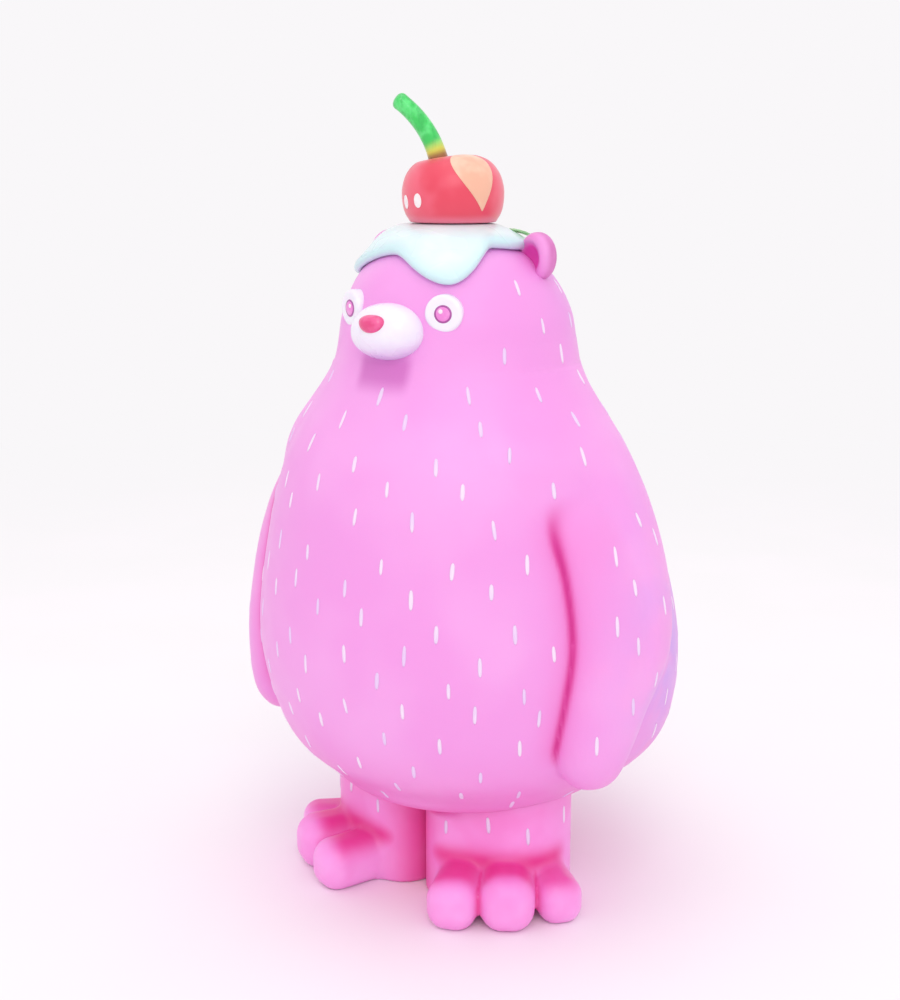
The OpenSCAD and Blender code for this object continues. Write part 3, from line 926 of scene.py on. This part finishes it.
def cherry_patch(outline):
    """Thin raised patch on the cherry; outline gives (bearing, share) for an angle and a size."""
    turn = np.linspace(0, 2 * np.pi, 72, endpoint=False)
    rings = []
    sizes = [*np.linspace(0.08, 0.96, 12), 0.99, 1.0, 1.0, 0.99]
    lifts = [1] * 12 + [0.85, 0.4, -0.8, -1.5]
    for size, height in zip(sizes, lifts):
        degrees, share = outline(turn, size)
        p = cherry_point(degrees, share)
        e = 0.01
        du = cherry_point(degrees + 1, share) - p
        dv = cherry_point(degrees, share + e) - p
        rings.append(p + PATCH_LIFT * height * unit(np.cross(du, dv)))
    first, last = rings[0].mean(0), rings[-1].mean(0)
    return skin(first, rings, last)


def oval(degrees, share, wide, tall):
    def outline(turn, size):
        return degrees + size * wide * np.cos(turn), share + size * tall * np.sin(turn)
    return outline


def petal(turn, size):
    """Rounded petal: broad at the top, coming to a blunt point at the bottom."""
    up = np.sin(turn)
    broad = np.cos(turn) * (0.6 + 0.5 * up)
    return 64 + size * (42 * broad - 6 * up), 0.63 + size * 0.25 * up


def in_place(shape):
    return moved(shape, None, (0, cherry_axis[1], cherry_z))


def make_cherry():
    turns = np.linspace(0, 360, 120, endpoint=False)
    shares = np.linspace(0, 1, 73)[1:-1]
    rings = [cherry_point(turns, np.full_like(turns, s)) for s in shares]
    shape = skin(cherry_point(0, 0), rings, cherry_point(0, 1))
    p = shape[0]
    away = np.linalg.norm(p[:, :2] - STEM_BASE, axis=1)
    # Painted glow at the cherry's foot, and painted shade in the hollow round the stem.
    masks = {"base": 0.8 * (1 - step(0, 2.6, p[:, 2])),
             "pit": hump(away, 0, 3.4) * (p[:, 2] > 12)}
    make("cherry_bun", in_place(shape), cherry_paint(), "cherry", "cherry", masks)
    peach = gloss("petal_paint", "#f3b89c", "#f8c8ae", 5, 0.34, 0.25)
    make("cherry_petal", in_place(cherry_patch(petal)), peach.grain(0.9, 0.02).done(),
         "cherry")
    white = gloss("spot_paint", "#fff5f7", "#ffe9ee", 3, 0.25, 0.4)
    spots = joined([cherry_patch(oval(-31, 0.44, 5.0, 0.045)),
                    cherry_patch(oval(-8, 0.45, 5.4, 0.047))])
    make("cherry_spots", in_place(spots), white.grain(0.8, 0.02).done(), "cherry")


def make_stem():
    """Curved stem with a rounded cut end."""
    side = np.array([math.cos(STEM_WAY), math.sin(STEM_WAY), 0])
    across = np.array([-math.sin(STEM_WAY), math.cos(STEM_WAY), 0])
    foot = np.array([*STEM_BASE, cherry_h - 2.6])
    rise = stem_top - cherry_z - foot[2] - 2.3

    def middle(t):
        up = 1.2 * t - 0.2 * t * t
        lean = 0.4 * t + 0.6 * t * t
        return foot + side * STEM_REACH * lean + np.array([0, 0, rise]) * up

    turn = np.linspace(0, 2 * np.pi, 40, endpoint=False)
    rings, along = [], []
    cap = [(1 + 0.07 * math.sin(a), math.cos(a) ** 0.8) for a in np.linspace(0.2, 1.45, 7)]
    for t, swell in [(t, 1) for t in np.linspace(0, 1, 36)] + cap:
        run = unit(middle(t + 0.01) - middle(t - 0.01))
        b = np.cross(run, across)
        flare = 1 + 0.16 * math.exp(-t / 0.05) + 0.03 * math.exp(-((1 - t) / 0.05) ** 2)
        r = STEM_R * (1 - 0.13 * t) * swell * flare
        rings.append([middle(t) + r * (math.cos(a) * across + math.sin(a) * b) for a in turn])
        along += [t] * len(turn)
    shape = skin(middle(0), rings, middle(1.07))
    t = np.array([0] + along + [1.07])
    masks = {"root": 0.85 * (1 - step(0.09, 0.2, t)), "glow": 0.9 * (1 - step(0.16, 0.34, t)),
             "tip": 0.3 * step(1.0, 1.05, t)}
    make("cherry_stalk", in_place(shape), stem_paint(), "cherry", "cherry_stem",
         masks)


# ---------------------------------------------------------------- leaf
def make_leaf():
    """Mint leaf: pointed at both ends, arched, with a fold and raised veins."""
    root, length, half_width, thick = 14.6, 9.8, 4.4, 0.9
    turn = math.radians(38)
    ts = np.linspace(0.02, 0.98, 56)
    vs = np.linspace(-1, 1, 33)
    top, low, vein = [], [], []
    for t in ts:
        wide = half_width * math.sin(math.pi * t ** 0.85) ** 0.8
        tooth = 1 + 0.035 * math.cos(2 * np.pi * 7 * t)
        y = vs * wide * tooth
        base = land_z - 1.8 - 3.6 * t * t + 0.1 * np.abs(y)
        side_vein = 0.5 + 0.5 * np.cos(2 * np.pi * (7 * t - 0.9 * np.abs(vs)))
        ridge = np.maximum(np.exp(-(y / 0.35) ** 2), 0.75 * side_vein ** 6 * (np.abs(vs) < 0.9))
        body = thick / 2 * (1 - vs ** 4)
        x = np.full_like(y, root + length * t)
        top.append(np.stack([x, y, base + body - 0.22 + 0.2 * ridge * (1 - vs ** 4)], -1))
        low.append(np.stack([x, y, base - body], -1))
        vein.append(ridge)
    rings = [np.vstack([a, b[::-1][1:-1]]) for a, b in zip(low, top)]
    shape = skin([root, 0, land_z - 1.8], rings, [root + length, 0, land_z - 5.4])
    ring_masks = [np.concatenate([np.zeros(len(vs)), v[::-1][1:-1]]) for v in vein]
    masks = {"vein": np.concatenate([[0], np.ravel(ring_masks), [0]])}
    shape = moved(shape, about_z(turn), (0, head_y, 0))
    make("mint_leaf_top", shape, leaf_paint(), "torso", "mint_leaf", masks)


# ---------------------------------------------------------------- head pieces
def make_ears():
    low, high = ear_middle - [9, 5, 9], ear_middle + [9, 5, 9]
    shape = surface_net(ear_field, low, high, EAR_PITCH)
    q = (shape[0] - ear_middle) @ about_z(ear_turn)
    hollow = np.hypot(q[:, 0] + 0.7, q[:, 2] + 0.6)
    masks = {"crease": (1 - step(3.0, 4.5, hollow)) * (q[:, 1] < 0),
             # Painted shade on the ear's back and round the rim of its hollow.
             "mauve_shade": np.clip(0.9 * step(-1.9, 0.1, q[:, 1]) + 0.4 * hump(hollow, 4.4, 0.6), 0, 1)}
    paint = ear_paint()
    make("bear_left_ear", shape, paint, "torso", "left_ear", masks)
    shape = mirrored((shape[0], shape[1].tolist()))
    make("bear_right_ear", shape, paint, "torso", "right_ear", masks)


def on_eye(shape):
    """Turns a shape that faces +Z to face out of the left eye."""
    return moved(moved(shape, UPRIGHT), about_z(eye_turn), eye_middle)


def lens(radius, height, sink=0.4, steps=8):
    """Outline of a low round dome whose edge goes a little below its own level."""
    a = np.linspace(0, np.pi / 2, steps)
    dome = [(radius * math.cos(x), height * math.sin(x)) for x in a]
    return [(0, -sink), (radius * 0.9, -sink), (radius, -sink * 0.5)] + dome[:-1] + [(0, height)]


def make_eyes():
    front = eye_front
    white = white_paint()
    ring = gloss("iris_ring_paint", "#a63f98", "#b851a8", 2, 0.3).done()
    pink = gloss("iris_paint", "#f183d6", "#f79be0", 2, 0.25).done()
    glint = gloss("glint_paint", "#fff6fd", "#ffe9fa", 2, 0.2).done()
    a = np.linspace(0, np.pi / 2, 7)
    edge = [(eye_r - 1.1 + 1.1 * math.cos(x), front - 1.1 + 1.1 * math.sin(x)) for x in a]
    disc = [(0, -5), (eye_r - 0.4, -5), (eye_r, -4)] + edge + [
        (eye_r - 1.8, front - 0.06), (eye_r - 2.4, front - 0.12), (1, front - 0.12),
        (0, front - 0.12)]
    face = front - 0.12
    parts = {
        "disc": (lathe(disc, 72), white, "white_vinyl"),
        "iris_ring": (moved(lathe(lens(2.3, 0.22), 48), None, (0, 0, face)), ring, "nose_vinyl"),
        "iris": (moved(lathe(lens(1.85, 0.3), 48), None, (0, 0, face + 0.08)), pink, "nose_vinyl"),
        "glint": (moved(lathe(lens(0.6, 0.2, 0.3), 24), None, (-0.55, 0.65, face + 0.28)), glint,
                  "white_vinyl")}
    for part, (shape, paint, slot) in parts.items():
        shape = on_eye(shape)
        n = len(shape[0])
        for side, made in (("left", shape), ("right", mirrored(shape))):
            node = f"{side}_eye" if part == "disc" else None
            masks = {"shade": np.zeros(n)} if part == "disc" else None
            make(f"{side}_eye_{part}", made, paint, "torso", node, masks)


def egg(half, rings=48, sides=72, power=1.0):
    """Egg shape about the origin, its long way up Z, squared off a little by power below 1."""
    turn = np.linspace(0, 2 * np.pi, sides, endpoint=False)

    def bent(x):
        return np.sign(x) * np.abs(x) ** power

    rows = []
    for a in np.linspace(0, np.pi, rings)[1:-1]:
        ring = np.stack([bent(np.sin(a)) * bent(np.cos(turn)), bent(np.sin(a)) * bent(np.sin(turn)),
                         np.full_like(turn, -bent(np.cos(a)))], -1)
        rows.append(ring * half)
    return skin([0, 0, -half[2]], rows, [0, 0, half[2]])


def make_muzzle():
    points, faces = egg(muzzle_half, power=0.97)
    low = np.clip(-points[:, 2] / muzzle_half[2], -1, 1)
    points[:, 0] *= 1 + 0.03 * low
    flank = np.abs(points[:, 0]) / muzzle_half[0]
    shade = np.clip(step(0.1, 1, low) + 0.2 * step(0.6, 1, flank), 0, 1)
    make("bear_muzzle", (points + muzzle_middle, faces), white_paint(), "torso",
         "muzzle", {"shade": shade})


def make_nose():
    points, faces = egg(np.array([3.8, 2.4, 2.4]), 32, 48, 0.92)
    points[:, 0] *= 1 + 0.12 * points[:, 2] / 2.4
    paint = gloss("nose_paint", "#e33a80", "#ee5a98", 3, 0.2, 0.6)
    make("bear_nose", (points + nose_middle, faces), paint.grain(0.7, 0.03).done(), "torso",
         "nose")


set_stage()
make_body()
make_legs()
make_fur()
make_icing()
make_leaf()
make_cherry()
make_stem()
make_ears()
make_eyes()
make_muzzle()
make_nose()
